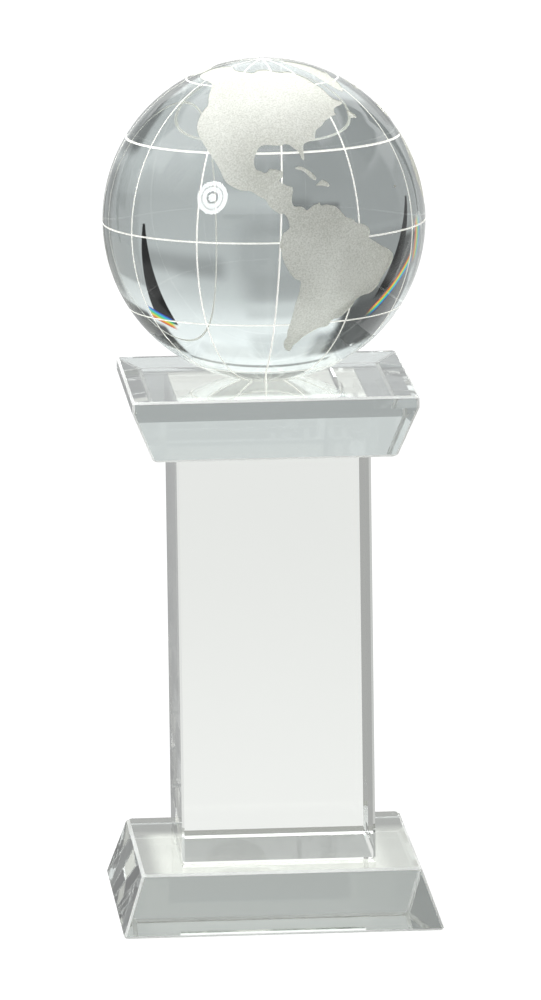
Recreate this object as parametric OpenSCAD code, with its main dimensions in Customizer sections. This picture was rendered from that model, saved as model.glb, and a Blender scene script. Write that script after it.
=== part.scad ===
// Column trophy: a solid crystal globe with a frosted map of the world, on a cap block,
// a square column and a wider base block. Every joint is bonded, so nothing moves.
// The origin is the centre of the base's underside. +Z is up and the front faces -Y.

/* [Base block] */
// Width and depth of the base at its underside
base_foot_w = 79.5; // [76:0.5:100]
// Width and depth of the base at its top
base_top_w = 69; // [60:0.5:75]
// Height of the base
base_h = 15; // [10:0.5:30]

/* [Column] */
// Width and depth of the square column
column_w = 48; // [36:0.5:54]
// Height of the column
column_h = 102; // [60:1:180]

/* [Cap block] */
// Width and depth of the cap where it meets the column
cap_foot_w = 60; // [56:0.5:66]
// Width and depth of the cap at its top
cap_top_w = 70.5; // [67:0.5:80]
// Height of the cap's sloping sides
cap_slope_h = 13; // [8:0.5:20]
// Height of the upright band above the sloping sides
cap_band_h = 3; // [2:0.5:8]

/* [Globe] */
// Diameter of the globe
globe_d = 80; // [60:1:100]
// Diameter of the flat ground on the globe's underside, where it is bonded to the cap
globe_flat_d = 16; // [8:1:24]
// Longitude that faces the front, in degrees east
front_longitude = -91.8; // [-180:0.1:180]
// Angle between neighbouring lines of the map's grid, in degrees
grid_step = 30; // [30:15:45]
// Width of the sandblasted grid lines
line_w = 0.4; // [0.4:0.1:1.2]
// Depth of the sandblasting
etch_depth = 0.15; // [0.1:0.05:0.3]

/* [Finish] */
// Size of the polished bevel along the edges of each block
bevel = 0.6; // [0.3:0.1:1.2]
// Thickness of the cured adhesive film in each joint
film_t = 0.1; // [0.05:0.05:0.2]

/* [Hidden] */
CRYSTAL = [0.86, 0.89, 0.9, 0.45];
FROSTED_CRYSTAL = [0.8, 0.83, 0.84, 0.5];
ADHESIVE = [0.95, 0.95, 0.9, 0.4];
column_film_z = base_h;
column_z = column_film_z + film_t;
cap_film_z = column_z + column_h;
cap_z = cap_film_z + film_t;
cap_h = cap_slope_h + cap_band_h;
globe_film_z = cap_z + cap_h;
globe_r = globe_d / 2;
globe_flat_drop = sqrt(pow(globe_r, 2) - pow(globe_flat_d / 2, 2));
globe_z = globe_film_z + film_t + globe_flat_drop;
column_foot_w = column_w - 2 * bevel;
// A cutting body reaches past what it cuts by this factor.
past = 1.2;

// Half the width of a block at height z, where its sides run straight up from foot to top
function half_width(foot_w, top_w, h, z) = (foot_w + (top_w - foot_w) * z / h) / 2;

// Half outline of a block from its foot up, with a bevel at the foot and at the top
function block_outline(foot_w, top_w, h) = [
    [foot_w / 2 - bevel, 0],
    [half_width(foot_w, top_w, h, bevel), bevel],
    [half_width(foot_w, top_w, h, h - bevel), h - bevel],
    [top_w / 2 - bevel, h]
];

function mirrored(outline) = [for (i = [len(outline) - 1 : -1 : 0]) [-outline[i].x, outline[i].y]];

// A bar along Y whose section is the outline and its mirror image
module bar(outline) {
    reach = past * 2 * max([for (p = outline) p.x]);
    rotate([90, 0, 0])
        linear_extrude(height = reach, center = true)
            polygon(concat(outline, mirrored(outline)));
}

// A square block: two crossed bars shape its sides, and two more across the corners bevel
// the four edges between the sides
module block(outline) {
    across_corners = [for (p = outline) [p.x * sqrt(2) - bevel / sqrt(2), p.y]];
    intersection() {
        bar(outline);
        rotate(90) bar(outline);
        rotate(45) bar(across_corners);
        rotate(-45) bar(across_corners);
    }
}

module base_block() {
    color(CRYSTAL)
        block(block_outline(base_foot_w, base_top_w, base_h));
}

module square_film(z) {
    color(ADHESIVE)
        translate([0, 0, z + film_t / 2])
            cube([column_foot_w, column_foot_w, film_t], center = true);
}

module base_bond_film() {
    square_film(column_film_z);
}

module column_block() {
    color(CRYSTAL)
        translate([0, 0, column_z])
            block(block_outline(column_w, column_w, column_h));
}

module cap_bond_film() {
    square_film(cap_film_z);
}

// The cap widens upwards and ends in an upright band
module cap_block() {
    outline = [
        [cap_foot_w / 2 - bevel, 0],
        [half_width(cap_foot_w, cap_top_w, cap_slope_h, bevel), bevel],
        [cap_top_w / 2, cap_slope_h],
        [cap_top_w / 2, cap_h - bevel],
        [cap_top_w / 2 - bevel, cap_h]
    ];
    color(CRYSTAL)
        translate([0, 0, cap_z])
            block(outline);
}

module globe_bond_film() {
    color(ADHESIVE)
        translate([0, 0, globe_film_z])
            cylinder(d = globe_flat_d, h = film_t, $fn = 96);
}

// Sheets on every meridian and parallel of the grid, which meet the globe in its grid lines
module grid_sheets() {
    reach = past * globe_d;
    for (longitude = [0 : grid_step : 180 - grid_step])
        rotate(longitude - front_longitude - 90)
            cube([reach, line_w, reach], center = true);
    for (latitude = [-90 + grid_step : grid_step : 90 - grid_step])
        translate([0, 0, globe_r * sin(latitude)])
            cube([reach, reach, line_w * cos(latitude)], center = true);
}

// The sandblasted lines: the outer skin of the globe where a grid sheet meets it
module grid_grooves() {
    difference() {
        grid_sheets();
        sphere(r = globe_r - etch_depth, $fn = 180);
    }
}

module globe() {
    color(FROSTED_CRYSTAL)
        translate([0, 0, globe_z])
            difference() {
                sphere(r = globe_r, $fn = 180);
                grid_grooves();
                translate([0, 0, -globe_flat_drop - globe_r])
                    cube([globe_d, globe_d, globe_d], center = true);
            }
}

base_block();
base_bond_film();
column_block();
cap_bond_film();
cap_block();
globe_bond_film();
globe();
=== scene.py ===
"""Looks of the column trophy: clear crystal blocks and a crystal globe with a sandblasted map,
joined by thin adhesive films, in a light tent. Metres, +Z up, the front faces -Y."""

import math
from collections import namedtuple

import bpy
import numpy as np
from mathutils import Matrix, Vector
from mathutils.geometry import delaunay_2d_cdt


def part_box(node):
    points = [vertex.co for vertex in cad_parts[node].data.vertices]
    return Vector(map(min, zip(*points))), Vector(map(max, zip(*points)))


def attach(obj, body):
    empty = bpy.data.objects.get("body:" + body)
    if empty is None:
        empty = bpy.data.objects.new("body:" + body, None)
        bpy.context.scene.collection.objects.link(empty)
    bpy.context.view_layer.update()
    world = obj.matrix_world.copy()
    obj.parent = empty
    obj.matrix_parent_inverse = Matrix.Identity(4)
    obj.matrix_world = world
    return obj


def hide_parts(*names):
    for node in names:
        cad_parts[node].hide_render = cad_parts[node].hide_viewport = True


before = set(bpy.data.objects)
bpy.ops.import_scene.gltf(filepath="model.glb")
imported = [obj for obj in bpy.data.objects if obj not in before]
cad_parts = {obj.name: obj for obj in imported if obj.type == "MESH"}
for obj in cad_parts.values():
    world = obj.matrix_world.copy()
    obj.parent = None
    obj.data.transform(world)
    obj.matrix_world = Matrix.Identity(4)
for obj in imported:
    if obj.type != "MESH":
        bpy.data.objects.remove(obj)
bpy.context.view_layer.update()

MM = 0.001
SAME = 1e-6

# ---------------------------------------------------------------- the map on the globe
# Coasts in degrees east and north, as the stencil lays them on the crystal.
AMERICAS = [
    (-138, 63), (-146, 64.5), (-158, 65), (-172, 67), (-176, 70), (-170, 74), (-160, 76), (-148, 77),
    (-136, 74.5), (-126, 73.5), (-117, 73.4), (-105.5, 72.2), (-103, 74.6), (-92.6, 75.5), (-81, 73.5),
    (-72, 72.2), (-63.5, 72.8), (-58, 70), (-53, 66.5), (-51, 61.5), (-49.7, 59.8), (-50, 53.7),
    (-43.5, 51.3), (-47, 50), (-52.7, 49.4), (-55.4, 47.8), (-55, 46), (-58.7, 45.7), (-61.2, 44.8),
    (-63.8, 44), (-66.3, 42.2), (-69, 41.2), (-70.6, 40.2), (-71.6, 38.5), (-72.4, 36.5), (-76, 36),
    (-77.9, 35.3), (-78.5, 34), (-78.7, 31.7), (-78.8, 30), (-79.4, 28.9), (-80.2, 29.9),
    (-80.4, 31.5), (-81.2, 32.8), (-83.1, 34.1), (-84.2, 35.1), (-85.6, 35.6), (-87.8, 35.1),
    (-90.2, 35), (-92.4, 35.3), (-95.1, 35.4), (-97, 34.8), (-97.9, 33.6), (-98.7, 32), (-99.3, 30.3),
    (-99.3, 29), (-99.1, 27), (-98.3, 25.9), (-96.8, 25.6), (-95.4, 24.8), (-94.2, 25), (-93.7, 26),
    (-92.9, 26.4), (-90.4, 25.9), (-88, 25.4), (-88.4, 23.1), (-89.6, 22.4), (-89.6, 21.5),
    (-88.5, 20.8), (-87.6, 20.4), (-86.4, 19.9), (-84.5, 19.3), (-85.5, 15.8), (-85.4, 13.5),
    (-84.5, 12.5), (-82.5, 12.6), (-81.1, 12.1), (-80.4, 11), (-79.5, 11.4), (-77.5, 12.9),
    (-75.8, 13.1), (-75.2, 13.8), (-74.9, 12.3), (-73.2, 12.8), (-71.2, 12.4), (-69.2, 12),
    (-67.8, 10.6), (-66.4, 8.9), (-65, 7.4), (-62.7, 7), (-61.2, 5.2), (-59.3, 4.9), (-57, 4.1),
    (-55.6, 2.6), (-55.4, 1.2), (-56, -0.3), (-55.2, -1), (-54, -1.6), (-52.5, -2.3), (-50.1, -3.9),
    (-47.2, -5), (-44.7, -6.2), (-42.8, -8.2), (-43, -10.5), (-44.6, -12.7), (-46.7, -14.4),
    (-47.8, -16.7), (-48.8, -18.6), (-50.2, -20.3), (-52, -21.5), (-55.9, -21.8), (-58.2, -22.9),
    (-59, -24), (-59.4, -26), (-61.4, -28), (-63.6, -30.3), (-67, -30.8), (-67.8, -32.2), (-68.5, -34),
    (-72, -34), (-74.5, -35.5), (-76.6, -36.8), (-79, -38.6), (-80.4, -40.6), (-82.6, -42.5),
    (-83, -46), (-86, -45), (-87.3, -41.7), (-87, -39.7), (-86, -38), (-86.3, -35.3), (-85.8, -33),
    (-85, -29.5), (-84.5, -26.2), (-84.1, -23), (-83.1, -20), (-82.6, -16.4), (-82.5, -14),
    (-84.4, -13.5), (-86.3, -11.4), (-87.7, -9), (-88.8, -7), (-89.3, -5.1), (-89.7, -2.8),
    (-90.4, -1), (-89.9, 0.8), (-89.5, 2.4), (-89, 3.5), (-87.5, 4.4), (-86.6, 5.3), (-86.8, 6.9),
    (-87.2, 8.7), (-88.8, 10.6), (-89.6, 10), (-91.4, 11.1), (-93.2, 12.4), (-94.1, 13.7),
    (-94.8, 15.3), (-97.3, 16.4), (-98.7, 17.4), (-100.6, 18.5), (-103.5, 18.4), (-106.3, 19.4),
    (-108.5, 20.5), (-109.8, 21.4), (-111.3, 23.5), (-112.7, 25.8), (-114.5, 28), (-116, 29.7),
    (-118.8, 32.3), (-121.3, 34.7), (-124, 37), (-126.7, 39.5), (-129, 43), (-129.6, 46.5),
    (-129.5, 49.7), (-128, 52), (-132, 56), (-135, 60.5), (-137, 62),
]
GREENLAND = [
    (-45, 80), (-42, 76), (-40, 72), (-39, 68), (-40, 64), (-39, 61), (-37.5, 58), (-35, 55.5),
    (-31.5, 56.5), (-27, 59), (-23, 62), (-19, 66), (-14, 70), (-12, 76), (-20, 81), (-35, 83),
]
AFRICA = [
    (-6, 37.5), (-10, 32), (-14, 27.5), (-17, 21.5), (-17.5, 15), (-15, 11), (-11.5, 7), (-8, 4.5),
    (-2, 5), (4, 6.5), (8.5, 4.5), (9.5, 0), (12, -5), (13.5, -12), (12, -18), (14.5, -24),
    (17, -31), (18.5, -36), (22.5, -36.2), (27.5, -34.5), (31.5, -30), (35, -25), (35, -20.5),
    (40, -16), (40.5, -10.5), (39.5, -5), (43, 0.5), (48, 5), (51.2, 11.5), (45, 11), (42, 13.5),
    (38, 19.5), (34.5, 26.5), (32.5, 31.8), (27, 33), (20.5, 32.8), (17, 32.5), (11, 35.5),
    (9.5, 39), (3, 38.8), (-2, 37),
]
EURASIA = [
    (-9.5, 45), (-9, 39.3), (-4.5, 39.2), (0, 41.2), (3.5, 44.5), (7.5, 46), (11, 44), (15.6, 40.5),
    (18, 42.3), (13.5, 46.8), (17, 46), (20, 42), (23, 38.5), (24, 42.5), (28, 39.5), (33, 38.3),
    (35.5, 36), (34.5, 33), (38.5, 26), (42.5, 18.5), (45, 14.5), (52, 17.5), (58.5, 22.5),
    (55, 27), (50.5, 31), (56.5, 29), (61.5, 27), (66.5, 27), (70, 23), (72.8, 20.5), (74.5, 14.5),
    (77.3, 9.5), (80, 15), (83.5, 19.5), (88, 23.5), (92, 22.5), (94.5, 18), (97.5, 18),
    (98.5, 11), (101.5, 4.5), (104.2, 2.2), (102.5, 8.5), (100.5, 14.5), (105, 10.5),
    (109, 13.5), (106.5, 21), (110, 23), (117, 25.5), (121, 31), (120, 37), (118, 41),
    (122, 43), (125, 40.5), (127, 36.5), (129.5, 38), (128, 42.5), (133, 45.5), (139, 51),
    (140.5, 56.5), (136, 57.5), (143, 61.5), (153, 62), (157, 60), (156, 53.5), (161, 57),
    (163.5, 62.5), (172, 63.5), (179, 66), (187, 68), (180, 71.5), (170, 72.5), (158, 73.5),
    (140, 75), (125, 76), (112, 77.5), (103, 79.5), (88, 77.5), (78, 74.5), (68, 72), (60, 71.5),
    (52, 71), (42, 69), (34, 71.5), (26, 73.5), (17, 72), (11, 66.5), (4.5, 63), (6.5, 60.5),
    (10.5, 61.5), (13, 58), (17.5, 61.5), (18, 64), (24, 68), (22, 63), (29, 62), (22.5, 59),
    (19, 57), (12, 56.5), (9.5, 58.5), (7, 56), (3, 53.5), (-2, 51.5), (-1.5, 46.5),
]
AUSTRALIA = [
    (114, -23.5), (115.5, -30), (115, -36.5), (119, -37.5), (124, -35.5), (130, -34), (135, -37),
    (138, -38), (141, -41), (146, -41.5), (150, -40), (153, -34), (153, -27.5), (149, -22.5),
    (145.5, -16), (142.5, -11.5), (141, -18.5), (136.5, -15), (136, -12.5), (131, -12),
    (127, -15), (122, -19),
]
ISLANDS = {
    "Cuba": [
        (-83.3, 26.5), (-81.3, 27), (-78.8, 26), (-76.8, 24.3), (-75.2, 22.5), (-75.6, 21.4),
        (-76.9, 21.8), (-78.7, 23.9), (-80.4, 25.4), (-82.8, 25.8),
    ],
    "Hispaniola": [
        (-76.3, 19.5), (-74.1, 21), (-73, 21.6), (-71.7, 21), (-70.4, 19.8), (-70.7, 18.7),
        (-72.5, 19.2), (-74.5, 19.6),
    ],
    "Newfoundland": [(-46, 48), (-42.4, 44.7), (-42.8, 43.4), (-48, 44)],
    "Atlantic islet": [(-39.5, 15.5), (-38.8, 15.2), (-38.2, 15.8), (-38.8, 16.5)],
    "Iceland": [(-24, 66.5), (-22, 67.5), (-16, 68), (-14, 66.5), (-18, 65), (-22, 65)],
    "Great Britain": [(-6, 52), (-3, 53), (1, 54), (0, 57), (-3, 60.5), (-6, 60), (-4, 56)],
    "Ireland": [(-10, 54), (-7, 54), (-6.5, 57), (-9.5, 57)],
    "Madagascar": [
        (43.5, -24), (45, -27), (48, -26), (50.5, -17), (49.5, -12.5), (46, -16.5), (43.8, -18),
    ],
    "Sri Lanka": [(80, 8), (81.5, 6.5), (82.2, 8), (80.5, 10.5)],
    "Sumatra": [(95.5, 5.5), (99, 3.5), (104, -1.5), (106.5, -6), (103, -5), (99, -0.5)],
    "Java": [(106.5, -7.5), (113, -7.5), (116, -9.5), (111, -9.5), (107, -8.8)],
    "Borneo": [(109, 1.5), (112, 3.5), (116, 7.5), (119, 5.5), (117.5, 0), (115, -4), (110.5, -3)],
    "Sulawesi": [
        (119.5, 0.5), (121, 1.5), (125, 1.8), (121.5, 0), (123, -5), (120.5, -5.5), (119, -2.5),
    ],
    "New Guinea": [
        (131, -1), (136, -2), (141, -3), (147.5, -7), (151, -11), (145, -9), (138, -8.8),
        (134, -4.5),
    ],
    "Philippines": [
        (120, 18), (122.5, 19.5), (122.5, 14.5), (125.5, 11), (126.5, 7), (123, 8), (122, 12),
        (120, 14.5),
    ],
    "Japan": [
        (130, 33), (135, 35), (140, 36.5), (142, 41), (145, 45.5), (142, 47), (140, 41.5),
        (136, 38), (131, 36),
    ],
    "Taiwan": [(120.2, 23.5), (121.5, 26), (121, 22.5)],
    "Tasmania": [(145, -43.5), (148, -43.5), (147, -46.5), (145.5, -45.5)],
    "New Zealand": [
        (173, -37), (176, -39), (178.5, -40), (176, -44), (173, -46), (169, -49.5), (167, -48.5),
        (171, -44.5), (174, -42),
    ],
    "Novaya Zemlya": [(53, 73), (57, 73), (62, 77.5), (68, 79.5), (60, 79.5), (55, 76)],
    "Svalbard": [(12, 79), (18, 79), (26, 81), (20, 82.5), (13, 81.5)],
}
CORNER_CUT = 0.25


def rounded(outline):
    """The closed outline with each corner cut at a share of its sides, as a stencil knife leaves it."""
    points = np.array(outline, float)
    after = np.roll(points, -1, axis=0)
    near = (1 - CORNER_CUT) * points + CORNER_CUT * after
    far = CORNER_CUT * points + (1 - CORNER_CUT) * after
    return np.stack([near, far], 1).reshape(-1, 2)


def inside(outline, points):
    """Which points lie inside the closed outline."""
    found = np.zeros(len(points), bool)
    for (x0, y0), (x1, y1) in zip(outline, np.roll(outline, -1, axis=0)):
        if y0 != y1:
            crosses = (y0 > points[:, 1]) != (y1 > points[:, 1])
            found ^= crosses & (points[:, 0] < (x1 - x0) * (points[:, 1] - y0) / (y1 - y0) + x0)
    return found


# ---------------------------------------------------------------- sizes from the frame
globe_low, globe_high = (np.array(v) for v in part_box("globe"))
GLOBE_R = (globe_high[0] - globe_low[0]) / 2
GLOBE_CENTRE = Vector((0, 0, globe_high[2] - GLOBE_R))
FLAT_DROP = GLOBE_CENTRE.z - globe_low[2]
FLAT_R = math.sqrt(GLOBE_R ** 2 - FLAT_DROP ** 2)
LOW_LATITUDE = -math.degrees(math.asin(FLAT_DROP / GLOBE_R))
ETCH_DEPTH = 0.15 * MM
# The share of the etch depth by which the sandblasted rim of the flat is drawn in.
RIM_DRAW_IN = 0.2
FRONT_LONGITUDE = -91.8

# The grid. The line at 30 degrees north is wider, and the lines within FAR_SIDE degrees of the
# back are finer.
GRID_STEP = 30
LINE_W = 0.4 * MM
NORTH_LINE_W = 0.55 * MM
FAR_LINE_W = 0.07 * MM
FAR_SIDE = 45
# The stencil is laid on in gores, which carry the parallels away from the equator by GORE_SLACK
# degrees and let the meridians near LEAN_LONGITUDE lean. GORE_LEAN is how far at 45 degrees, and
# they run straight on beyond LEAN_STOPS.
GORE_SLACK = 2.1
GORE_LEAN = 3.2
LEAN_LONGITUDE = -95
LEAN_SPREAD = 26
LEAN_STOPS = 62

# The flat map, in degrees: where it is cut open, where the disc round the pole starts, and how
# finely the clear crystal and the lines are divided.
SEAM_LONGITUDE = -165
POLE_DISC_LATITUDE = 88.6
CELL = 2.0
LEAST_POINTS_IN_ROW = 12
ROW_OFFSETS = (0.75, 0.25)
MERIDIAN_POINTS = 84
PARALLEL_POINTS = 181
BORDER_POINTS = 121
BORDER_SLACK = 1e-3
MATCHED_DIGITS = 3

CLEAR, LAND, LINE, BONDED = range(4)


def etched_parallel(latitude):
    """Where the gores put a parallel. Those at 30 and 60 degrees move by the whole slack."""
    return latitude + GORE_SLACK * math.sin(math.radians(2 * latitude)) / math.sin(math.radians(60))


def line_width(longitude, width):
    """The width of a line, which is cut finer on the far side of the globe."""
    from_front = (longitude - FRONT_LONGITUDE) % 360
    return np.where(np.abs(from_front - 180) < FAR_SIDE, FAR_LINE_W, width)


def meridian_strip(longitude):
    """Outline of one meridian line, from the flat to the disc at the pole."""
    lean = GORE_LEAN * math.exp(-((longitude - LEAN_LONGITUDE) / LEAN_SPREAD) ** 2)
    latitudes = np.linspace(LOW_LATITUDE, POLE_DISC_LATITUDE, MERIDIAN_POINTS)
    half = np.degrees(line_width(longitude, LINE_W) / 2 / GLOBE_R / np.cos(np.radians(latitudes)))
    middle = longitude + lean * np.tan(np.radians(np.clip(latitudes, -LEAN_STOPS, LEAN_STOPS)))
    left = np.stack([middle - half, latitudes], 1)
    right = np.stack([middle + half, latitudes], 1)
    return np.concatenate([left, right[::-1]])


def parallel_strip(latitude, width):
    """Outline of one parallel line, from side to side of the map."""
    longitudes = np.linspace(SEAM_LONGITUDE, SEAM_LONGITUDE + 360, PARALLEL_POINTS)
    half = np.degrees(line_width(longitudes, width) / 2 / GLOBE_R)
    low = np.stack([longitudes, latitude - half], 1)
    high = np.stack([longitudes, latitude + half], 1)
    return np.concatenate([low, high[::-1]])


def map_outlines():
    """Every closed outline on the globe, with the finish inside it."""
    lands = [AMERICAS, GREENLAND, AFRICA, EURASIA, AUSTRALIA, *ISLANDS.values()]
    outlines = []
    for land in lands:
        outline = rounded(land)
        outlines.append((outline, LAND))
        if outline[:, 0].min() < SEAM_LONGITUDE:
            outlines.append((outline + (360, 0), LAND))
    for longitude in range(-150, 181, GRID_STEP):
        outlines.append((meridian_strip(longitude), LINE))
    for latitude in range(-60, 61, GRID_STEP):
        width = NORTH_LINE_W if latitude == GRID_STEP else LINE_W
        outlines.append((parallel_strip(etched_parallel(latitude), width), LINE))
    return outlines


def triangulated_map(outlines):
    """Points in degrees and triangles over the whole globe, with every outline followed by edges."""
    points, edges = [], []

    def add_line(line, closed):
        first = len(points)
        points.extend(Vector((float(x), float(y))) for x, y in line)
        count = len(line)
        sides = count if closed else count - 1
        edges.extend((first + i, first + (i + 1) % count) for i in range(sides))

    west, east = SEAM_LONGITUDE, SEAM_LONGITUDE + 360
    for outline in outlines:
        add_line(outline, closed=True)
    rows = np.arange(LOW_LATITUDE, POLE_DISC_LATITUDE, CELL)
    for row, latitude in enumerate(rows[1:]):
        count = max(LEAST_POINTS_IN_ROW, round(360 * math.cos(math.radians(latitude)) / CELL))
        offset = ROW_OFFSETS[row % 2]
        points.extend(Vector((west + 360 * (i + offset) / count, latitude)) for i in range(count))
    for longitude in (west, east):
        add_line([(longitude, y) for y in np.append(rows, POLE_DISC_LATITUDE)], closed=False)
    for latitude in (LOW_LATITUDE, POLE_DISC_LATITUDE):
        add_line([(x, latitude) for x in np.linspace(west, east, BORDER_POINTS)], closed=False)
    found, _, faces = delaunay_2d_cdt(points, edges, [], 0, SAME)[:3]
    found = np.array([tuple(p) for p in found])
    faces = np.array([tuple(f) for f in faces])
    # Land that runs over the seam leaves triangles outside the map, and the straight borders
    # leave slivers without width.
    corners = found[faces]
    middles = corners.mean(axis=1)
    kept = (middles[:, 0] > west) & (middles[:, 0] < east)
    for axis, border in ((0, west), (0, east), (1, LOW_LATITUDE), (1, POLE_DISC_LATITUDE)):
        kept &= (np.abs(corners[:, :, axis] - border) > BORDER_SLACK).any(axis=1)
    return found, faces[kept]


def direction(longitude, latitude):
    """Unit vectors from the globe's centre. The front longitude faces -Y."""
    angle = np.radians(longitude - FRONT_LONGITUDE - 90)
    latitude = np.radians(latitude)
    level = np.cos(latitude)
    return np.stack([level * np.cos(angle), level * np.sin(angle), np.sin(latitude)], -1)


def finish_of_faces(points, faces, outlines):
    """The finish of each triangle of the map. Land lies over the grid lines."""
    centres = points[faces].mean(axis=1)
    etched = np.zeros(len(faces), int)
    for outline, finish in outlines:
        etched[inside(outline, centres) & (etched != LAND)] = finish
    return etched


def joined_over_seam(points):
    """The number of each map point on the globe, where the map's two sides are the same points,
    and the places of those points in degrees."""
    key_of = {}
    keys = np.empty(len(points), int)
    for i, (x, y) in enumerate(points):
        from_seam = round((x - SEAM_LONGITUDE) % 360, MATCHED_DIGITS) % 360
        keys[i] = key_of.setdefault((from_seam, round(y, MATCHED_DIGITS)), len(key_of))
    spots = np.array(list(key_of))
    spots[:, 0] += SEAM_LONGITUDE
    return keys, spots


def new_object(name, vertices, polygons, slots):
    mesh = bpy.data.meshes.new(name)
    mesh.from_pydata(vertices, [], polygons)
    mesh.polygons.foreach_set("material_index", slots)
    mesh.update()
    made = bpy.data.objects.new(name, mesh)
    bpy.context.scene.collection.objects.link(made)
    return made


def build_globe():
    """The crystal ball: its skin follows the map, which is sunk by the sandblasting, with a wall
    along every coast and line."""
    outlines = map_outlines()
    points, faces = triangulated_map([outline for outline, _ in outlines])
    etched = finish_of_faces(points, faces, outlines)
    keys, spots = joined_over_seam(points)
    # Every point is there twice, on the ball and at the foot of the sandblasting, and the pole
    # and the middle of the flat come last.
    count = len(spots)
    pole, flat_middle = 2 * count, 2 * count + 1
    rays = direction(spots[:, 0], spots[:, 1])
    on_flat = np.abs(spots[:, 1] - LOW_LATITUDE) < BORDER_SLACK
    clear_co = rays * GLOBE_R
    etched_co = rays * (GLOBE_R - ETCH_DEPTH)
    sunk_across = ETCH_DEPTH / math.cos(math.radians(LOW_LATITUDE))
    flat_scale = (FLAT_R - sunk_across * RIM_DRAW_IN) / FLAT_R
    etched_co[on_flat] = clear_co[on_flat] * (flat_scale, flat_scale, 1)
    ends = [(0, 0, GLOBE_R - ETCH_DEPTH), (0, 0, -FLAT_DROP)]
    vertices = np.concatenate([clear_co, etched_co, ends])

    triangles = keys[faces] + np.where(etched, count, 0)[:, None]
    polygons = [tuple(int(i) for i in t) for t in triangles]
    slots = [int(finish) for finish in etched]
    kinds = ["skin"] * len(polygons)

    def add_polygon(corners, slot, kind):
        polygons.append(tuple(int(i) for i in corners))
        slots.append(slot)
        kinds.append(kind)

    finish_left_of = {}
    for face, finish in zip(keys[faces], etched):
        for a, b in zip(face, np.roll(face, -1)):
            finish_left_of[int(a), int(b)] = int(finish)
    for (a, b), finish in finish_left_of.items():
        across = finish_left_of.get((b, a))
        if finish != CLEAR and across == CLEAR:
            add_polygon((b + count, a + count, a, b), finish, "wall")
        if across is None and on_flat[a] and on_flat[b]:
            shift = 0 if finish == CLEAR else count
            add_polygon((b + shift, a + shift, flat_middle), BONDED, "flat")
        elif across is None:
            add_polygon((b + count, a + count, pole), LINE, "skin")
            if finish == CLEAR:
                add_polygon((b, a, a + count, b + count), LINE, "wall")
    # Where a line runs out over the rim of the flat, a thin triangle closes the step.
    rim_finish = {a: finish for (a, b), finish in finish_left_of.items()
                  if on_flat[a] and on_flat[b] and (b, a) not in finish_left_of}
    for (a, b), finish in finish_left_of.items():
        follows = b in rim_finish and on_flat[a] and (b, a) not in finish_left_of
        if follows and (rim_finish[b] == CLEAR) != (finish == CLEAR):
            start, end = (b + count, b) if finish == CLEAR else (b, b + count)
            add_polygon((start, end, flat_middle), BONDED, "flat")

    placed = [tuple(v) for v in vertices + np.array(GLOBE_CENTRE)]
    globe = new_object("crystal_globe", placed, polygons, slots)
    mesh = globe.data
    mesh.polygons.foreach_set("use_smooth", [True] * len(polygons))
    mesh.update()
    normals = []
    for polygon, kind in zip(mesh.polygons, kinds):
        for i in polygon.vertices:
            if kind == "skin":
                normals.append(tuple(vertices[i] / np.linalg.norm(vertices[i])))
            else:
                normals.append(tuple(polygon.normal))
    mesh.normals_split_custom_set(normals)
    return globe


# ---------------------------------------------------------------- blocks and films
ARRIS_LIMIT = 1.0 * MM
RING_SLACK = 10 * SAME
RING_DIGITS = 6
JOIN_SLACK = 1e-7
CIRCLE_SIDES = 96
CORNERS = 8
FILM_DRAW_IN = 0.06 * MM
BLOCK_CRYSTAL, BLOCK_BONDED, BLOCK_ARRIS = range(3)
FILM_FACE, FILM_RIM = range(2)


def levels(node):
    """A CAD block's rings from its foot up, as (height, half width, what is cut off each corner)."""
    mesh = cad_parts[node].data
    co = np.array([tuple(v.co) for v in mesh.vertices])
    rings = []
    for z in sorted({round(float(v), RING_DIGITS) for v in co[:, 2]}):
        ring = co[np.abs(co[:, 2] - z) < RING_SLACK]
        half = float(ring[:, 0].max())
        side = ring[np.abs(ring[:, 0] - half) < RING_SLACK]
        rings.append((z, half, half - float(side[:, 1].max())))
    return rings


def octagon(half, cut):
    """A square of that half width with its corners cut off, counterclockwise."""
    a, b = half, half - cut
    return [(a, -b), (a, b), (b, a), (-b, a), (-a, b), (-a, -b), (-b, -a), (b, -a)]


def circle(radius):
    angles = [math.tau * i / CIRCLE_SIDES for i in range(CIRCLE_SIDES)]
    return [(radius * math.cos(angle), radius * math.sin(angle)) for angle in angles]


def ring_between(lower, upper, count):
    """The four-sided faces between two rings of count vertices, given each ring's first vertex."""
    after = [(i + 1) % count for i in range(count)]
    return [(lower + i, lower + after[i], upper + after[i], upper + i) for i in range(count)]


def flat_end(vertices, outer, inner, z, upward):
    """Triangles that fill the outer loop of vertices at height z, with edges along the inner outline.
    Returns them with a flag for those inside it."""
    first = len(vertices)
    inner = [Vector(p) for p in inner]
    vertices.extend((p.x, p.y, z) for p in inner)
    points = [Vector(vertices[i][:2]) for i in outer] + inner
    ids = list(outer) + [first + i for i in range(len(inner))]
    loops = [range(len(outer)), range(len(outer), len(points))]
    edges = [(loop[i], loop[(i + 1) % len(loop)]) for loop in loops for i in range(len(loop))]
    found, _, faces, origin = delaunay_2d_cdt(points, edges, [], 0, JOIN_SLACK)[:4]
    ids = [ids[sources[0]] for sources in origin]
    centres = np.array([sum((found[i] for i in face), Vector((0, 0))) / len(face) for face in faces])
    bonded = inside(np.array([tuple(p) for p in inner]), centres)
    turned = [tuple(ids[i] for i in (face if upward else face[::-1])) for face in faces]
    return list(zip(turned, bonded))


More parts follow.
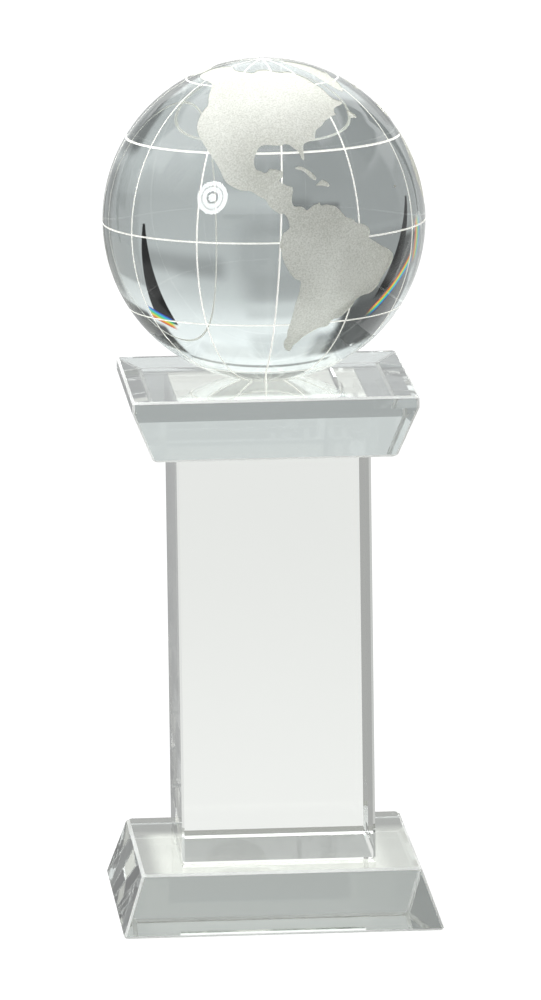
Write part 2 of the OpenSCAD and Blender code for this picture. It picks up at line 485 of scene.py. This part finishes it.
def build_block(name, node, foot_bond, top_bond):
    """A crystal block on the CAD block's own rings. Each end is free (None), bonded over its whole
    face ("whole") or has the joint's outline cut into it."""
    vertices, polygons, slots = [], [], []
    rings = levels(node)
    for z, half, cut in rings:
        vertices.extend((x, y, z) for x, y in octagon(half, cut))
    for lower in range(len(rings) - 1):
        narrow = rings[lower + 1][0] - rings[lower][0] < ARRIS_LIMIT
        for i, face in enumerate(ring_between(CORNERS * lower, CORNERS * (lower + 1), CORNERS)):
            polygons.append(face)
            slots.append(BLOCK_ARRIS if narrow or i % 2 == 1 else BLOCK_CRYSTAL)
    last = CORNERS * (len(rings) - 1)
    ends = ((list(range(CORNERS)), foot_bond, rings[0][0], False),
            (list(range(last, last + CORNERS)), top_bond, rings[-1][0], True))
    for outer, bond, z, upward in ends:
        if bond is None or bond == "whole":
            polygons.append(tuple(outer if upward else outer[::-1]))
            slots.append(BLOCK_BONDED if bond else BLOCK_CRYSTAL)
        else:
            for face, bonded in flat_end(vertices, outer, bond, z, upward):
                polygons.append(face)
                slots.append(BLOCK_BONDED if bonded else BLOCK_CRYSTAL)
    return new_object(name, vertices, polygons, slots)


def build_film(name, node, outline):
    """A cured film: two faces on the crystal and a rim drawn in a little between them."""
    low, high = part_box(node)
    draw_in = 1 - FILM_DRAW_IN / max(p[0] for p in outline)
    rings = [(low[2], 1.0), ((low[2] + high[2]) / 2, draw_in), (high[2], 1.0)]
    count = len(outline)
    vertices = [(x * scale, y * scale, z) for z, scale in rings for x, y in outline]
    rim = ring_between(0, count, count) + ring_between(count, 2 * count, count)
    polygons = [tuple(range(count))[::-1], tuple(range(2 * count, 3 * count)), *rim]
    slots = [FILM_FACE, FILM_FACE] + [FILM_RIM] * len(rim)
    return new_object(name, vertices, polygons, slots)


# ---------------------------------------------------------------- nodes
def new_material(name):
    material = bpy.data.materials.new(name)
    material.use_nodes = True
    tree = material.node_tree
    tree.nodes.clear()
    return material, tree


def add(tree, kind, inputs=None, **settings):
    """Adds a node. inputs maps a socket's name or number to a value or to a socket that feeds it."""
    node = tree.nodes.new(kind)
    for key, value in settings.items():
        setattr(node, key, value)
    for key, value in (inputs or {}).items():
        if isinstance(value, bpy.types.NodeSocket):
            tree.links.new(value, node.inputs[key])
        else:
            node.inputs[key].default_value = value
    return node


def surface(tree, shader):
    add(tree, "ShaderNodeOutputMaterial", {"Surface": shader.outputs[0]})


def object_place(tree):
    return add(tree, "ShaderNodeTexCoord").outputs["Object"]


def noise(tree, place, scale, detail=2.0):
    settings = {"Vector": place, "Scale": scale, "Detail": detail}
    return add(tree, "ShaderNodeTexNoise", settings).outputs["Fac"]


def spread(tree, value, low, high):
    """The value's 0 to 1 spread from low to high."""
    ends = {"Value": value, "To Min": low, "To Max": high}
    return add(tree, "ShaderNodeMapRange", ends).outputs["Result"]


def smooth(tree, value, start, end, low=0.0, high=1.0):
    """A soft step from low at start to high at end."""
    ends = {"Value": value, "From Min": start, "From Max": end, "To Min": low, "To Max": high}
    return add(tree, "ShaderNodeMapRange", ends, interpolation_type="SMOOTHSTEP").outputs["Result"]


def maths(tree, operation, *values):
    return add(tree, "ShaderNodeMath", dict(enumerate(values)), operation=operation).outputs[0]


def product(tree, first, *others):
    for other in others:
        first = maths(tree, "MULTIPLY", first, other)
    return first


def aligned_with(tree, vector, towards):
    """The cosine of the angle between two directions."""
    node = add(tree, "ShaderNodeVectorMath", {0: vector, 1: towards}, operation="DOT_PRODUCT")
    return node.outputs["Value"]


# The two sides of a Mix node are inputs 2 and 3 for numbers, and 6 and 7 for colours.
def blend(tree, factor, low, high):
    return add(tree, "ShaderNodeMix", {0: factor, 2: low, 3: high}, data_type="FLOAT").outputs[0]


def blend_colours(tree, factor, low, high):
    return add(tree, "ShaderNodeMix", {0: factor, 6: low, 7: high}, data_type="RGBA").outputs[2]


def blend_shaders(tree, factor, low, high):
    return add(tree, "ShaderNodeMixShader", {0: factor, 1: low.outputs[0], 2: high.outputs[0]})


def colour_ramp(tree, value, stops):
    node = add(tree, "ShaderNodeValToRGB", {0: value})
    elements = node.color_ramp.elements
    while len(elements) < len(stops):
        elements.new(0.5)
    for element, (position, colour) in zip(elements, stops):
        element.position = position
        element.color = (*colour, 1)
    return node.outputs[0]


def ramp(tree, value, stops):
    return colour_ramp(tree, value, [(position, (level,) * 3) for position, level in stops])


def ramp_by_angle(tree, angle, stops):
    """The level at an angle in degrees, for stops from -90 to 90."""
    share = maths(tree, "DIVIDE", maths(tree, "ADD", angle, 90.0), 180.0)
    return ramp(tree, share, [((stop + 90) / 180, level) for stop, level in stops])


# ---------------------------------------------------------------- materials
CRYSTAL_IOR = 1.517
CLOUD_SCALE = 60.0
CLOUDIEST = 0.985
ROUGHEST_POLISH = 0.006
GRAIN_SCALE, GRAIN_DETAIL = 2600.0, 3.0
DRIFT_SCALE, DRIFT_SHARE = 70.0, 0.25
TONE_RANGE = (0.38, 0.62)
FROST_ROUGHNESS = (0.5, 0.75)
PIT_DEPTH, PIT_STRENGTH = 0.05 * MM, 0.25
# The colour of the painted glow that the etched lines emit.
PAINTED_GLOW_COLOUR = (1.0, 1.0, 0.96, 1)
ADHESIVE_IOR = 1.5
ADHESIVE_COLOUR = (0.93, 0.93, 0.9, 1)
ADHESIVE_CLOUD_SCALE = 900.0
ADHESIVE_ROUGHNESS = (0.05, 0.3)
ADHESIVE_CLARITY = 0.8


def crystal(name, tint):
    """Clear polished crystal, faintly cloudy in its tint and never quite even in its polish."""
    material, tree = new_material(name)
    cloud = noise(tree, object_place(tree), CLOUD_SCALE)
    low, high = (tuple(c * by for c in tint) + (1,) for by in (CLOUDIEST, 1.0))
    surface(tree, add(tree, "ShaderNodeBsdfPrincipled", {
        "Base Color": blend_colours(tree, cloud, low, high),
        "Roughness": spread(tree, cloud, 0.0, ROUGHEST_POLISH),
        "IOR": CRYSTAL_IOR,
        "Transmission Weight": 1.0,
    }))
    return material


def frosted_crystal(name, low, high, through, painted_glow=0.0):
    """Sandblasted crystal: a fine white grain that scatters some light and lets the rest through.
    The glow is painted light: an emission that stands for the light a deep narrow groove catches from
    within the crystal."""
    material, tree = new_material(name)
    place = object_place(tree)
    grain = noise(tree, place, GRAIN_SCALE, GRAIN_DETAIL)
    drift = noise(tree, place, DRIFT_SCALE)
    mixed = blend(tree, DRIFT_SHARE, grain, drift)
    stretch = {"Value": mixed, "From Min": TONE_RANGE[0], "From Max": TONE_RANGE[1]}
    tone = add(tree, "ShaderNodeMapRange", stretch).outputs["Result"]
    pits = {"Height": grain, "Strength": PIT_STRENGTH, "Distance": PIT_DEPTH}
    surface(tree, add(tree, "ShaderNodeBsdfPrincipled", {
        "Base Color": blend_colours(tree, tone, (*low, 1), (*high, 1)),
        "Roughness": spread(tree, grain, *FROST_ROUGHNESS),
        "IOR": CRYSTAL_IOR,
        "Transmission Weight": through,
        "Normal": add(tree, "ShaderNodeBump", pits).outputs["Normal"],
        "Emission Color": PAINTED_GLOW_COLOUR,
        "Emission Strength": painted_glow,
    }))
    return material


def bonded_face(name, tint=1.0):
    """Crystal in optical contact: light crosses the joint as if it were not there."""
    material, tree = new_material(name)
    surface(tree, add(tree, "ShaderNodeBsdfTransparent", {"Color": (tint, tint, tint, 1)}))
    return material


def adhesive_edge():
    """The edge of the cured film, glossy and faintly milky."""
    material, tree = new_material("adhesive_rim")
    cloud = noise(tree, object_place(tree), ADHESIVE_CLOUD_SCALE)
    surface(tree, add(tree, "ShaderNodeBsdfPrincipled", {
        "Base Color": ADHESIVE_COLOUR,
        "Roughness": spread(tree, cloud, *ADHESIVE_ROUGHNESS),
        "IOR": ADHESIVE_IOR,
        "Transmission Weight": ADHESIVE_CLARITY,
    }))
    return material


# ---------------------------------------------------------------- the pieces
def dress(piece, materials, node):
    for material in materials:
        piece.data.materials.append(material)
    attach(piece, "root")
    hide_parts(node)


_, foot_half, foot_cut = levels("column_block")[0]
COLUMN_FOOT = octagon(foot_half, foot_cut)
GLOBE_FLAT = circle(FLAT_R)

bonded = bonded_face("bonded_crystal")
film_face = bonded_face("adhesive_film", 0.995)
film_rim = adhesive_edge()
# The arrises of the cap and base take a white frost that stands for the highlights along their edges:
# painted highlight. The base's copy is greyer: painted shade.
cap_arris_highlight = frosted_crystal("cap_arris_highlight", (0.93, 0.935, 0.92), (1.0, 1.0, 0.985), 0.6)
base_arris_highlight = frosted_crystal("base_arris_highlight", (0.68, 0.69, 0.68), (0.8, 0.81, 0.8), 0.75)
# The base, cap and globe are the column's crystal in grey tints: their faint green is the crystal's
# own, and their greyness is painted shade.
column_crystal = crystal("column_crystal", (0.99, 0.995, 0.965))
base_crystal_painted_shade = crystal("base_crystal_painted_shade", (0.545, 0.573, 0.552))
cap_crystal_painted_shade = crystal("cap_crystal_painted_shade", (0.55, 0.583, 0.575))
globe_crystal = crystal("globe_crystal", (0.55, 0.592, 0.588))
land_frost = frosted_crystal("frosted_land", (0.56, 0.565, 0.5), (0.84, 0.845, 0.785), 0.5)
# The lines carry a painted glow: an emission that stands for light caught in the grooves.
line_frost = frosted_crystal("frosted_line", (0.95, 0.95, 0.91), (1.0, 1.0, 0.97), 0.3, painted_glow=0.25)

dress(build_block("crystal_base", "base_block", None, COLUMN_FOOT),
      [base_crystal_painted_shade, bonded, base_arris_highlight], "base_block")
dress(build_block("crystal_column", "column_block", "whole", "whole"),
      [column_crystal, bonded, column_crystal], "column_block")
dress(build_block("crystal_cap", "cap_block", COLUMN_FOOT, GLOBE_FLAT),
      [cap_crystal_painted_shade, bonded, cap_arris_highlight], "cap_block")
dress(build_globe(), [globe_crystal, land_frost, line_frost, bonded], "globe")
for name, node, outline in (("base_film", "base_bond_film", COLUMN_FOOT),
                            ("cap_film", "cap_bond_film", COLUMN_FOOT),
                            ("globe_film", "globe_bond_film", GLOBE_FLAT)):
    dress(build_film(name, node, outline), [film_face, film_rim], node)

# ---------------------------------------------------------------- camera
AZIMUTH, ELEVATION, ROLL = -3.876, 10.052, -0.775
DISTANCE = 2.55
AIM = Vector((0.67 * MM, 0, 101.93 * MM))
LENS = 682.6
SENSOR = 36
CLIP = (0.05, 50)


def place_camera():
    azimuth, elevation, roll = (math.radians(angle) for angle in (AZIMUTH, ELEVATION, ROLL))
    back = Vector((math.sin(azimuth) * math.cos(elevation),
                   -math.cos(azimuth) * math.cos(elevation), math.sin(elevation)))
    level = (-back).cross(Vector((0, 0, 1))).normalized()
    upright = level.cross(-back)
    right = level * math.cos(roll) + upright * math.sin(roll)
    up = upright * math.cos(roll) - level * math.sin(roll)
    data = bpy.data.cameras.new("camera")
    data.sensor_fit = "HORIZONTAL"
    data.sensor_width = SENSOR
    data.lens = LENS
    data.clip_start, data.clip_end = CLIP
    camera = bpy.data.objects.new("camera", data)
    turned = Matrix((right, up, back)).transposed().to_4x4()
    camera.matrix_world = Matrix.Translation(AIM + back * DISTANCE) @ turned
    bpy.context.scene.collection.objects.link(camera)
    bpy.context.scene.camera = camera


place_camera()

# ---------------------------------------------------------------- floor
FLOOR_DROP = 0.2 * MM
FLOOR_REACH = 6.0
FOOT_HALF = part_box("base_block")[1][0]
FOOT_EDGE = 1 * MM
# What the camera sees behind and below the trophy.
BACKDROP_LEVEL = 1.1
# A soft step on the floor: where it starts and ends, and its level before and after.
Step = namedtuple("Step", "start end low high", defaults=(0.0, 1.0))
# Round the trophy the floor is darker towards the front and the left: painted shade.
PAINTED_SHADE_FRONT = Step(-0.12, -0.05, 0.35, 0.9)
PAINTED_SHADE_LEFT = Step(-0.11, -0.03, 0.7, 1.0)
# Under it a painted pool of light, dimmer on the right and ending behind, lies on darker painted shade.
PATCH_LEFT = Step(-0.032, -0.027)
PATCH_RIGHT = Step(0.024, 0.03, 1.0, 0.38)
PATCH_BACK = Step(0.024, 0.03, 1.0, 0.0)
PAINTED_POOL_LEVEL = 2.0
PAINTED_SHADE_LEVEL = Step(0.029, 0.032, 0.75, 0.48)
FLOOR_COLOUR = (1.0, 0.99, 0.93, 1)


def build_floor():
    """A pale floor that shows white. Under the trophy it sends light up into the crystal. Further
    out, light bent or mirrored by the crystal passes through it and sees the tent."""
    reach = FLOOR_REACH
    square = ((-reach, -reach), (reach, -reach), (reach, reach), (-reach, reach))
    corners = [(x, y, -FLOOR_DROP) for x, y in square]
    floor = new_object("floor", corners, [(0, 1, 2, 3)], [0])
    material, tree = new_material("floor_white")
    x, y, _ = add(tree, "ShaderNodeSeparateXYZ", {0: object_place(tree)}).outputs
    from_middle = maths(tree, "MAXIMUM", maths(tree, "ABSOLUTE", x), maths(tree, "ABSOLUTE", y))
    outside = smooth(tree, from_middle, FOOT_HALF - FOOT_EDGE, FOOT_HALF)
    around = product(tree, smooth(tree, y, *PAINTED_SHADE_FRONT), smooth(tree, x, *PAINTED_SHADE_LEFT))
    patch = product(tree, smooth(tree, x, *PATCH_LEFT), smooth(tree, x, *PATCH_RIGHT),
                    smooth(tree, y, *PATCH_BACK))
    under = blend(tree, patch, smooth(tree, y, *PAINTED_SHADE_LEVEL), PAINTED_POOL_LEVEL)
    level = blend(tree, outside, under, around)
    # What the crystal and rough surfaces see of the floor is an emission: a painted pool of light under
    # the trophy and painted shade round it.
    lit = add(tree, "ShaderNodeEmission", {"Color": FLOOR_COLOUR, "Strength": level})
    seen = add(tree, "ShaderNodeEmission", {"Color": (1, 1, 1, 1), "Strength": BACKDROP_LEVEL})
    through = add(tree, "ShaderNodeBsdfTransparent")
    path = add(tree, "ShaderNodeLightPath").outputs
    bent = maths(tree, "MAXIMUM", path["Is Transmission Ray"], path["Is Glossy Ray"])
    hidden = blend_shaders(tree, product(tree, bent, outside), lit, through)
    surface(tree, blend_shaders(tree, path["Is Camera Ray"], hidden, seen))
    floor.data.materials.append(material)


# ---------------------------------------------------------------- the light tent
# Its brightness by elevation in degrees.
TENT = [(-90, 1.7), (-60, 1.3), (-40, 0.95), (-24, 1.0), (-14, 0.8), (-5, 0.85), (4, 0.9), (12, 1.1),
        (20, 1.5), (30, 1.75), (45, 1.8), (90, 2.6)]
TENT_TINT = (0.985, 1.0, 1.0)
# What rough surfaces are lit by instead: a soft light overhead, tilted a little behind. Its
# brightness goes by the elevation above the plane that the light stands on.
DOME_TOWARDS = (0.0, 0.423, 0.906)
DOME = [(-90, 0.52), (40, 0.52), (60, 3.0), (90, 20.0)]
# The tent's panels and gaps. Azimuths run from straight behind, clockwise from above; soft is the
# width of an edge, lean and flare move and widen a panel per degree of height above its foot, and
# cover is how much of what lies under it is hidden. Later ones lie over earlier ones.
Panel = namedtuple("Panel", "west east bottom top brightness soft lean flare cover",
                   defaults=(5, 0, 0, 1))
PANELS = [
    Panel(-150, -64, -78, -36, 0.3, soft=6),
    Panel(64, 150, -78, -36, 0.3, soft=6),
    Panel(-180, -105, -100, 50, 0.2, soft=14),
    Panel(105, 180, -100, 50, 0.2, soft=14),
    Panel(-10, 9, -8, 14, 0.5, soft=8, cover=0.6),
    Panel(-14, 9, 14, 19, 1.15, soft=3),
    Panel(-14, 9, 26, 41, 1.35),
    Panel(9, 30, 33, 41, 1.5),
    Panel(14, 42, 1, 6.5, 0.62, soft=4),
    Panel(-30, 46, 47, 49.5, 0.6, soft=1.2),
    Panel(-64, -1, -48, -5, 0.6, soft=3),
    Panel(-64, -16, -5, 14, 0.55),
    Panel(-58, -45, 0, 14, 0.12, soft=2, lean=0.38),
    Panel(-60, -24, 13, 44, 0.24),
    Panel(-26, -13, 28, 42, 0.75),
    Panel(-150, -66, -22, 24, 0.42, soft=8),
    Panel(68, 150, -22, 24, 0.42, soft=8),
    Panel(44, 66, -14, 14, 0.72, soft=2),
    Panel(0, 14, -15, -9.65, 0.865, soft=0.25),
    Panel(0, 14, -15, -11, 0.945, soft=2),
    Panel(0, 14, -9.65, -8.6, 0.76, soft=0.25),
    Panel(-8, -1, -13, -8.8, 0.42, soft=3),
    Panel(-16, -8.5, -12, -4, 0.35, soft=1.5),
    Panel(-6, 14, -34, -17, 0.64, soft=2),
    Panel(-4, 9, -5, 5.5, 0.74, soft=3),
    Panel(40.2, 41.4, -6, 27, 0.0, soft=0.5, flare=0.15),
    Panel(44, 90, 30, 46, 0.1, soft=3),
    Panel(52, 90, 26, 31, 0.1, soft=3),
    Panel(-50.6, -48.9, -12, 19, 0.0, soft=0.5, lean=0.38, flare=0.13),
    Panel(-62, -46, 18, 28, 0.2, soft=3),
    Panel(-48, -20, 18, 42, 0.16, soft=4),
    Panel(-25, 45, 58, 82, 0.45, soft=6),
    Panel(115, 160, 48, 62, 0.15),
    Panel(88, 112, 24, 50, 0.4),
    Panel(-115, -85, 20, 40, 0.6),
    Panel(55, 85, -45, -28, 0.4),
    Panel(-92, -66, -36, -22, 0.68),
]
# A round lamp in front and to the left: its direction, its radius in degrees, its strength, and
# its rings, as brightness by the share of its radius.
LAMP_TOWARDS = (-0.640, -0.675, 0.367)
LAMP_RADIUS = 11.4
LAMP_STRENGTH = 14.0
LAMP_RINGS = [(0.0, 1.0), (0.24, 1.0), (0.27, 0.0), (0.36, 0.0), (0.39, 1.0), (0.64, 1.0),
              (0.66, 0.3), (0.71, 0.3), (0.73, 1.0), (0.97, 1.0), (1.0, 0.0)]

# Coloured streaks painted into the tent, seen only by light straight through one piece: painted light
# that stands for the colours the crystal splits light into. Where each starts and ends in the tent
# (azimuth, elevation), how wide it is in degrees and how much it covers. In a streak that runs right,
# red is at the bottom.
Fringe = namedtuple("Fringe", "start end width cover")
FRINGES = [
    Fringe((-58, 7), (-33, 26), 4.5, 1.0),
    Fringe((-61, -5), (-62, 12), 9, 0.7),
    Fringe((51, 24.5), (36, 27.5), 6, 1.0),
]
# The share of a streak's length and width that each soft end and side takes.
FRINGE_END = 0.2
FRINGE_SIDE = 0.15
# Light straight through one piece has crossed two faces, and looking up the tent counts as a third.
FRINGE_DEPTH = 3.5
SPECTRUM = [
    (0.0, (0.7, 0.0, 0.0)),
    (0.22, (1.6, 0.25, 0.0)),
    (0.38, (1.6, 1.3, 0.05)),
    (0.55, (0.1, 1.2, 0.3)),
    (0.72, (0.05, 0.9, 1.4)),
    (0.88, (0.03, 0.05, 1.0)),
    (1.0, (0.05, 0.0, 0.4)),
]


def spectral_fringe(tree, azimuth, elevation, fringe):
    """The colour and the cover of one streak."""
    run, rise = fringe.end[0] - fringe.start[0], fringe.end[1] - fringe.start[1]
    length = math.hypot(run, rise)
    right = maths(tree, "SUBTRACT", azimuth, fringe.start[0])
    up = maths(tree, "SUBTRACT", elevation, fringe.start[1])
    along = maths(tree, "ADD", product(tree, right, run / length ** 2),
                  product(tree, up, rise / length ** 2))
    across = maths(tree, "SUBTRACT", product(tree, up, run / length / fringe.width),
                   product(tree, right, rise / length / fringe.width))
    across = maths(tree, "ADD", across, 0.5)
    cover = fringe.cover
    for value, fade in ((along, FRINGE_END), (across, FRINGE_SIDE)):
        cover = product(tree, cover, smooth(tree, value, 0.0, fade),
                        smooth(tree, value, 1 - fade, 1.0, 1.0, 0.0))
    return colour_ramp(tree, across, SPECTRUM), cover


def with_panel(tree, azimuth, elevation, level, panel):
    """The tent's level with one panel laid over it."""
    height = maths(tree, "SUBTRACT", elevation, panel.bottom)
    upright = maths(tree, "SUBTRACT", azimuth, product(tree, height, panel.lean))
    widening = product(tree, height, panel.flare)
    from_west = maths(tree, "ADD", upright, widening)
    from_east = maths(tree, "SUBTRACT", upright, widening)
    edge = panel.soft / 2

    def past(value, start):
        return smooth(tree, value, start - edge, start + edge)

    def short_of(value, end):
        return smooth(tree, value, end - edge, end + edge, 1.0, 0.0)

    mask = product(tree, panel.cover, past(from_west, panel.west), short_of(from_east, panel.east),
                   past(elevation, panel.bottom), short_of(elevation, panel.top))
    return blend(tree, mask, level, panel.brightness)


def build_world():
    world = bpy.data.worlds.new("light_tent")
    bpy.context.scene.world = world
    world.use_nodes = True
    tree = world.node_tree
    tree.nodes.clear()
    towards = add(tree, "ShaderNodeTexCoord").outputs["Generated"]
    path = add(tree, "ShaderNodeLightPath").outputs
    x, y, z = add(tree, "ShaderNodeSeparateXYZ", {0: towards}).outputs
    elevation = maths(tree, "DEGREES", maths(tree, "ARCSINE", z))
    azimuth = maths(tree, "DEGREES", maths(tree, "ARCTAN2", x, y))
    level = ramp_by_angle(tree, elevation, TENT)
    for panel in PANELS:
        level = with_panel(tree, azimuth, elevation, level, panel)
    from_lamp = maths(tree, "ARCCOSINE", aligned_with(tree, towards, LAMP_TOWARDS))
    from_lamp = maths(tree, "DIVIDE", maths(tree, "DEGREES", from_lamp), LAMP_RADIUS)
    lamp = product(tree, ramp(tree, from_lamp, LAMP_RINGS), LAMP_STRENGTH)
    level = maths(tree, "ADD", level, lamp)
    tinted = add(tree, "ShaderNodeVectorMath", {0: TENT_TINT, "Scale": level}, operation="SCALE")
    colour = tinted.outputs[0]
    # Only light straight through one piece sees the painted colour streaks.
    shallow = maths(tree, "LESS_THAN", path["Ray Depth"], FRINGE_DEPTH)
    straight = product(tree, path["Is Transmission Ray"], shallow)
    for fringe in FRINGES:
        split, cover = spectral_fringe(tree, azimuth, elevation, fringe)
        colour = blend_colours(tree, product(tree, cover, straight), colour, split)
    raised = maths(tree, "ARCSINE", aligned_with(tree, towards, DOME_TOWARDS))
    dome = ramp_by_angle(tree, maths(tree, "DEGREES", raised), DOME)
    colour = blend_colours(tree, path["Is Diffuse Ray"], colour, dome)
    tent = add(tree, "ShaderNodeBackground", {"Color": colour, "Strength": 1.0})
    plain = add(tree, "ShaderNodeBackground", {"Color": (1, 1, 1, 1), "Strength": BACKDROP_LEVEL})
    shader = blend_shaders(tree, path["Is Camera Ray"], tent, plain)
    add(tree, "ShaderNodeOutputWorld", {"Surface": shader.outputs[0]})


build_floor()
build_world()

# ---------------------------------------------------------------- render set-up
scene = bpy.context.scene
scene.view_settings.view_transform = "Standard"
scene.cycles.max_bounces = 40
scene.cycles.transmission_bounces = 36
scene.cycles.glossy_bounces = 24
scene.cycles.transparent_max_bounces = 40
scene.cycles.sample_clamp_indirect = 8.0
scene.cycles.blur_glossy = 0.0
scene.cycles.use_adaptive_sampling = False
